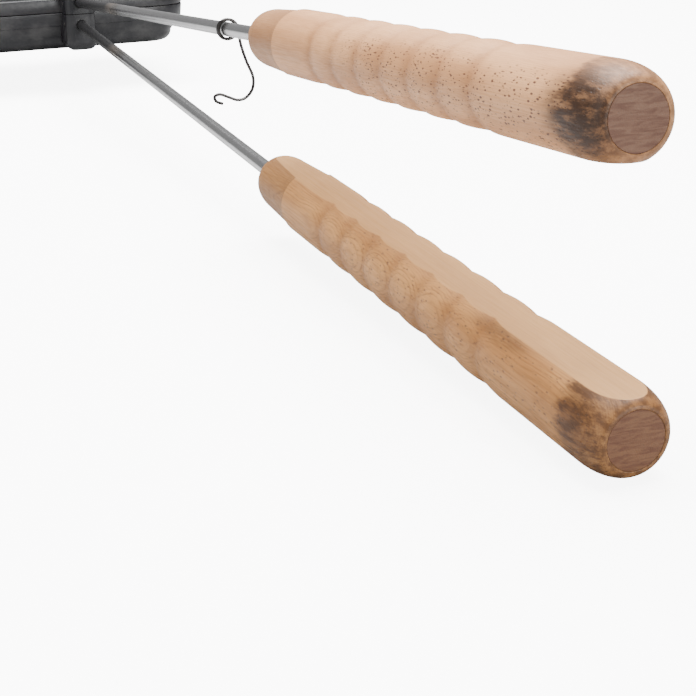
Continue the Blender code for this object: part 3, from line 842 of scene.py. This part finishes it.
def grip_outline(look):
    """(radius, distance) pairs once round the grip's wall, from its bore's mouth and back."""
    ends = 14
    inner = [INNER_ROUND * (1 - math.cos(math.pi / 2 * k / ends)) for k in range(ends + 1)]
    outer = [look.grip_long - OUTER_ROUND * (1 - math.cos(math.pi / 2 * k / ends))
             for k in range(ends, -1, -1)]
    nose = NOSE_LONG - INNER_ROUND
    stations = inner + [INNER_ROUND + nose * k / 12 for k in range(1, 13)]
    stations += [NOSE_LONG + SHOULDER_LONG * k / 4 for k in (1, 2, 3, 4)]
    first = GROOVE_FIRST - GROOVE_PITCH / 2
    start, step = stations[-1], 0.002
    while start + step < first:
        start += step
        stations.append(start)
    stations += [first + k * GROOVE_PITCH / 20 for k in range(GROOVES * 20 + 1)]
    start = stations[-1]
    while start + step < outer[0]:
        start += step
        stations.append(start)
    stations += outer
    outline = [(grip_radius_at(look, at), at) for at in stations]
    pocket = look.grip_long - COUNTERBORE_DEEP
    rim = look.grip_long - 0.0001
    return ([(BORE_R, 0.0006), (BORE_R + 0.0004, 0.0)] + outline +
            [(COUNTERBORE_R, rim), (COUNTERBORE_R, pocket), (BORE_R, pocket)])


def turned(outline, steps, closed=False):
    """Spin an outline of (radius, height) pairs once about Z."""
    bm = bmesh.new()
    verts = [bm.verts.new((radius, 0, height)) for radius, height in outline]
    edges = [bm.edges.new(pair) for pair in zip(verts, verts[1:])]
    if closed:
        edges.append(bm.edges.new((verts[-1], verts[0])))
    bmesh.ops.spin(bm, geom=verts + edges, cent=(0, 0, 0), axis=(0, 0, 1),
                   angle=2 * math.pi, steps=steps, use_merge=True)
    bmesh.ops.remove_doubles(bm, verts=bm.verts, dist=0.000002)
    bmesh.ops.recalc_face_normals(bm, faces=bm.faces)
    return bm


def grip_solid(look):
    bm = turned(grip_outline(look), 112, closed=True)
    bmesh.ops.bisect_plane(bm, geom=bm.verts[:] + bm.edges[:] + bm.faces[:], dist=0.000001,
                           plane_co=(0, look.flat_at, 0), plane_no=(0, 1, 0),
                           clear_outer=True)
    rim = [e for e in bm.edges if e.is_boundary]
    made = bmesh.ops.edgeloop_fill(bm, edges=rim)["faces"]
    round_edges(bm, [e for f in made for e in f.edges], FLAT_SOFT, 2)
    return bm


LOWER_WOOD = {"pith": (0.034, -0.006), "layer": 0.00036, "waves": 0.0022, "flecks": 0.50,
              "pores": 0.40, "line": (0.46, 0.36, 0.28), "contrast": 0.75, "streaks": 0.45,
              "planed": (1.10, 1.27, 1.50), "fleck": (0.15, 0.075, 0.035),
              "onset": (0.07, 0.12), "quiet": 0.25, "side": -1.0, "crowd": (0.006, 0.013),
              "mark": 0.75, "painted_groove_shade": 0.50, "turning": (0.0300, 0.0335, 0.0348),
              "end": 0.97, "end_from": 0.2270, "end_tint": (0.092, 0.037, 0.011),
              "inner": 0.42,
              "scorches": (((-0.0100, 0.0040, 0.2350), (0.0060, 0.0080, 0.0100), 0.45),
                           ((-0.0085, 0.0085, 0.1940), (0.0045, 0.0030, 0.0200), 0.45),)}
UPPER_WOOD = {"pith": (0.050, 0.030), "layer": 0.00055, "waves": 0.0030, "flecks": 0.90,
              "pores": 0.85, "line": (0.62, 0.50, 0.40), "contrast": 0.42, "streaks": 0.40,
              "planed": (1.05, 1.10, 1.18), "fleck": (0.12, 0.055, 0.030),
              "onset": (0.08, 0.125), "quiet": 0.06, "side": 1.0, "crowd": (0.010, 0.014),
              "mark": 0.95, "painted_groove_shade": 0.58, "turning": (0.0085, 0.0310, 0.0348),
              "end": 0.76, "end_from": 0.2300, "end_tint": (0.080, 0.031, 0.010),
              "inner": 0.42,
              "scorches": (((0.0095, -0.0010, 0.2395), (0.0110, 0.0135, 0.0200), 1.0),)}


class COOKINGIRON_OT_grips(bpy.types.Operator):
    """Turn both wooden grips and their end plugs, with their finish"""
    bl_idname = "cookingiron.grips"
    bl_label = "Grips"

    def execute(self, context):
        look = context.scene.cooking_iron_handles
        grain = grain_group()
        for half, upper in HALVES:
            place = half_place(upper) @ grip_design(look.grip_long, upper)
            tint = look.upper_wood if upper else look.lower_wood
            settings = UPPER_WOOD if upper else LOWER_WOOD
            wood = wood_material(half + " grip beech", tint, look.char, grain, place,
                                 look.grip_radius, settings)
            finish_piece(half + "_grip_turned", grip_solid(look), place, wood, half + "_half",
                         (half + "_grip",), 32.0)
            end = look.grip_long - 0.0001
            radius = COUNTERBORE_R - 0.00003
            plug = turned([(0, end), (radius - 0.0001, end), (radius, end - 0.0001),
                           (radius, end - PLUG_LONG), (0, end - PLUG_LONG)], 112)
            cut_end = end_grain_material(half + " plug beech",
                                         tuple(v * 1.5 for v in settings["end_tint"]), place)
            finish_piece(half + "_grip_plug_turned", plug, place, cut_end, half + "_half",
                         (half + "_grip_plug",), 32.0)
        return {"FINISHED"}


class COOKINGIRON_OT_rods(bpy.types.Operator):
    """Draw both rods, blackened near the pans"""
    bl_idname = "cookingiron.rods"
    bl_label = "Rods"

    def execute(self, context):
        look = context.scene.cooking_iron_handles
        steel = rod_material(look, shared_metal())
        rod = rod_design()
        thread = look.grip_long - COUNTERBORE_DEEP - THREAD_LONG
        slim = THREAD_R / look.rod_radius
        for half, upper in HALVES:
            grip = grip_design(look.grip_long, upper)
            points = [rod @ Vector((0, 0, BOSS_LONG - SOCKET_DEEP + PLAY)),
                      rod @ Vector((0, 0, grip_mouth(look.grip_long, upper) - 0.002)),
                      grip @ Vector((0, 0, 0.002)), grip @ Vector((0, 0, thread)),
                      grip @ Vector((0, 0, thread + 0.0008)),
                      grip @ Vector((0, 0, thread + THREAD_LONG + NUT_STACK))]
            bm = swept_wire(points, look.rod_radius, 48, [1, 1, 1, 1, slim, slim])
            finish_piece(half + "_rod_drawn", bm, half_place(upper), steel, half + "_half",
                         (half + "_rod",), 32.0)
        return {"FINISHED"}


# ---- hook ----
def hook_path(look, rod_radius):
    """Helix round the rod, then the hanging S, in a frame whose Z is the rod and Y is down."""
    loop_r = rod_radius + look.wire_radius + HOOK_CLEAR
    sweep = HOOK_TURNS * 2 * math.pi
    steps = 60
    helix = []
    for index in range(steps + 1):
        share = index / steps
        turn = sweep * (1 - share)
        helix.append(Vector((-loop_r * math.cos(turn), -loop_r * math.sin(turn),
                             HOOK_PITCH * HOOK_TURNS * (share - 1))))
    guide = [helix[-2], helix[-1], Vector(HOOK_NECK)]
    guide += [Vector((-x, y, 0)) for x, y in HOOK_CURVE]
    guide.append(guide[-1] * 2 - guide[-2])
    path = helix
    for before, here, after, further in zip(guide, guide[1:], guide[2:], guide[3:]):
        for step in range(1, 9):
            t = step / 8
            path.append(0.5 * (2 * here + (after - before) * t
                               + (2 * before - 5 * here + 4 * after - further) * t * t
                               + (3 * here - before - 3 * after + further) * t ** 3))
    return path


class COOKINGIRON_OT_hook(bpy.types.Operator):
    """Bend the wire hook that hangs on the upper rod"""
    bl_idname = "cookingiron.hook"
    bl_label = "Hook"

    def execute(self, context):
        look = context.scene.cooking_iron_hook
        rod_radius = context.scene.cooking_iron_handles.rod_radius
        wire = plain_metal_material("dark drawn wire", look.wire, 0.26, shared_metal(), 3000.0)
        at = Vector(JOINTS["hook_swing"]["pos_m"])
        place = Matrix.Translation(at) @ (half_place(True) @ rod_design()).to_3x3().to_4x4()
        points = hook_path(look, rod_radius)
        bm = swept_wire(points, look.wire_radius, 14)
        finish_piece("s_hook_bent", bm, place, wire, "hook", ("s_hook",), 50.0)
        return {"FINISHED"}


# ---- hardware that keeps its shape ----
def shared_metal():
    return bpy.data.node_groups.get("drawn metal") or metal_group()


class COOKINGIRON_OT_hardware(bpy.types.Operator):
    """Finish the hinge pins, washers, nuts and split pins"""
    bl_idname = "cookingiron.hardware"
    bl_label = "Hardware"

    def execute(self, context):
        metal = shared_metal()
        steel = plain_metal_material("fire darkened pin steel", (0.20, 0.19, 0.18), 0.42,
                                     metal, 1200.0, 0.35)
        zinc = plain_metal_material("dull zinc plate", (0.42, 0.42, 0.40), 0.40, metal,
                                    900.0, 0.55)
        for name, node in frame["nodes"].items():
            if node.hide_render:
                continue
            finish = steel if "hinge_pin" in name or "rod_pin" in name else zinc
            if node.data.materials:
                node.data.materials[0] = finish
            else:
                node.data.materials.append(finish)
        return {"FINISHED"}


# ---- stage ----
def area_light(name, power, size, at, target):
    lamp = bpy.data.lights.new(name, "AREA")
    lamp.energy = power
    lamp.shape = "RECTANGLE"
    lamp.size, lamp.size_y = size
    made = bpy.data.objects.new(name, lamp)
    bpy.context.scene.collection.objects.link(made)
    made.visible_camera = False
    made.location = at
    made.rotation_euler = (Vector(target) - Vector(at)).to_track_quat("-Z", "Y").to_euler()


class COOKINGIRON_OT_stage(bpy.types.Operator):
    """Lay the floor, light the iron and set the camera"""
    bl_idname = "cookingiron.stage"
    bl_label = "Stage"

    def execute(self, context):
        look = context.scene.cooking_iron_stage
        bm = bmesh.new()
        bmesh.ops.create_grid(bm, x_segments=4, y_segments=4, size=FLOOR_SIZE / 2)
        floor = mesh_object("floor", bm)
        made, tree, shader, where = new_material("pale floor", 0.9, 0.0)
        cloud = noise(tree, where, 3.0, 2.0)
        soft = tuple(v * 0.985 for v in look.floor)
        seen = add(tree, "ShaderNodeLightPath").outputs["Is Camera Ray"]
        pale = mixed(tree, cloud, colour(look.floor), colour(soft))
        tree.links.new(mixed(tree, seen, colour(tuple(v * 0.45 for v in look.floor)), pale),
                       shader.inputs["Base Color"])
        shader.inputs["Emission Color"].default_value = (1.0, 1.0, 1.0, 1.0)
        tree.links.new(times(tree, seen, look.glow),
                       shader.inputs["Emission Strength"])
        floor.data.materials.append(made)

        world = bpy.data.worlds.new("white surroundings")
        world.use_nodes = True
        sky = world.node_tree.nodes["Background"]
        sky.inputs["Color"].default_value = (1.0, 1.0, 1.0, 1.0)
        sky.inputs["Strength"].default_value = look.sky
        context.scene.world = world
        middle = (cad_low + cad_high) / 2
        area_light("overhead light", look.key, (1.6, 1.4), (0.15, 0.10, 1.50), middle)
        area_light("left light", look.fill, (0.7, 1.1), (-1.15, -0.55, 0.55), middle)
        area_light("front light", look.front, (0.50, 0.22), (0.42, -1.45, 0.30), PAN_LOW)

        lens = bpy.data.cameras.new("camera")
        lens.lens = CAMERA_LENS
        lens.sensor_width = 36.0
        lens.clip_start, lens.clip_end = 0.01, 50.0
        camera = bpy.data.objects.new("camera", lens)
        context.scene.collection.objects.link(camera)
        ahead = Vector(CAMERA_LOOK).normalized()
        right = ahead.cross(Vector(CAMERA_UP)).normalized()
        turn = Matrix((right, right.cross(ahead), -ahead)).transposed()
        camera.matrix_world = Matrix.Translation(CAMERA_AT) @ turn.to_4x4()
        context.scene.camera = camera
        return {"FINISHED"}


# ---- sidebar ----
class COOKINGIRON_PT_panel(bpy.types.Panel):
    """Sizes, colours and steps of the cooking iron"""
    bl_idname = "COOKINGIRON_PT_panel"
    bl_label = "Cooking Iron"
    bl_space_type = "VIEW_3D"
    bl_region_type = "UI"
    bl_category = "Cooking Iron"

    def draw(self, context):
        scene = context.scene
        for group, step in ((scene.cooking_iron_pans, "cookingiron.pans"),
                            (scene.cooking_iron_handles, "cookingiron.grips"),
                            (scene.cooking_iron_hook, "cookingiron.hook"),
                            (scene.cooking_iron_stage, "cookingiron.stage")):
            box = self.layout.box()
            for key in group.bl_rna.properties.keys():
                if key not in ("rna_type", "name"):
                    box.prop(group, key)
            box.operator(step)
        self.layout.operator("cookingiron.rods")
        self.layout.operator("cookingiron.hardware")


GROUPS = (("cooking_iron_pans", CookingIronPans), ("cooking_iron_handles", CookingIronHandles),
          ("cooking_iron_hook", CookingIronHook), ("cooking_iron_stage", CookingIronStage))
STEPS = (COOKINGIRON_OT_pans, COOKINGIRON_OT_grips, COOKINGIRON_OT_rods, COOKINGIRON_OT_hook,
         COOKINGIRON_OT_hardware, COOKINGIRON_OT_stage)


def register():
    for name, group in GROUPS:
        bpy.utils.register_class(group)
        setattr(bpy.types.Scene, name, PointerProperty(type=group))
    for step in STEPS + (COOKINGIRON_PT_panel,):
        bpy.utils.register_class(step)


def unregister():
    for step in (COOKINGIRON_PT_panel,) + STEPS[::-1]:
        bpy.utils.unregister_class(step)
    for name, group in GROUPS[::-1]:
        delattr(bpy.types.Scene, name)
        bpy.utils.unregister_class(group)


def main():
    register()
    bpy.ops.cookingiron.pans()
    bpy.ops.cookingiron.grips()
    bpy.ops.cookingiron.rods()
    bpy.ops.cookingiron.hook()
    bpy.ops.cookingiron.hardware()
    bpy.ops.cookingiron.stage()


if __name__ == "__main__":
    main()
